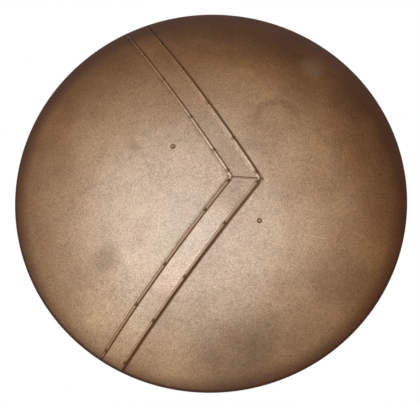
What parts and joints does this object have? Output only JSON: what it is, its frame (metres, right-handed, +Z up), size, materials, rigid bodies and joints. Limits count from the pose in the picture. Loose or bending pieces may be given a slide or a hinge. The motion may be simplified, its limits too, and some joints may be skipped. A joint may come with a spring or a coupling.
{
  "type": "hoplite aspis shield",
  "caption": "Round dished sheet-metal shield with a riveted chevron on its face, a leather forearm band and a swinging hand grip inside.",
  "frame": {"origin": "middle of the space that the forearm fills, between the arm pad and the crown of the forearm band", "axes": "+Z up and +X to the right as the face is seen in the picture, with the chevron pointing along +X; the face looks along -Y and +Y leaves the open back along the shield's axis"},
  "size_m": [0.6103, 0.105, 0.6103],
  "materials": {
    "bowl_finish": "antiqued bronze-brown, mottled and fine grained",
    "band_finish": "antiqued bronze-brown, a little lighter",
    "trim_finish": "antiqued bronze-brown, rubbed bright along the crown",
    "rivet_finish": "antiqued bronze-brown, dark round the heads",
    "steel": "dull drawn rod",
    "brass": "aged brass",
    "strap_leather": "thick vegetable-tanned strap leather",
    "pad_leather": "soft leather over felt",
    "grip_leather": "leather wrapping, darkened by handling"
  },
  "bodies": {
    "shield": {"shield_bowl": "bowl_finish", "rim_wire": "steel", "chevron_band_upper": "band_finish", "chevron_band_lower": "band_finish", "edge_trim_upper_outer": "trim_finish", "edge_trim_upper_inner": "trim_finish", "edge_trim_lower_outer": "trim_finish", "edge_trim_lower_inner": "trim_finish", "trim_rivet_upper_outer_1": "rivet_finish", "trim_rivet_upper_outer_2": "rivet_finish", "trim_rivet_upper_outer_3": "rivet_finish", "trim_rivet_upper_outer_4": "rivet_finish", "trim_rivet_upper_outer_5": "rivet_finish", "trim_rivet_upper_inner_1": "rivet_finish", "trim_rivet_upper_inner_2": "rivet_finish", "trim_rivet_upper_inner_3": "rivet_finish", "trim_rivet_upper_inner_4": "rivet_finish", "trim_rivet_upper_inner_5": "rivet_finish", "trim_rivet_lower_outer_1": "rivet_finish", "trim_rivet_lower_outer_2": "rivet_finish", "trim_rivet_lower_outer_3": "rivet_finish", "trim_rivet_lower_outer_4": "rivet_finish", "trim_rivet_lower_outer_5": "rivet_finish", "trim_rivet_lower_inner_1": "rivet_finish", "trim_rivet_lower_inner_2": "rivet_finish", "trim_rivet_lower_inner_3": "rivet_finish", "trim_rivet_lower_inner_4": "rivet_finish", "trim_rivet_lower_inner_5": "rivet_finish", "arm_band": "strap_leather", "arm_pad": "pad_leather", "arm_rivet_upper": "rivet_finish", "arm_rivet_lower": "rivet_finish", "arm_washer_upper": "brass", "arm_washer_lower": "brass", "grip_lug_upper": "brass", "grip_lug_lower": "brass"},
    "grip": {"grip_bail": "steel", "grip_leather": "grip_leather", "grip_ferrule_upper": "brass", "grip_ferrule_lower": "brass"}
  },
  "joints": [
    {"name": "grip_swing", "type": "hinge", "parent": "shield", "child": "grip", "pos_m": [0.11094, 0.0058, 0.16004], "axis": [0.7771, 0, -0.6293], "range_deg": [-22, 158]}
  ]
}
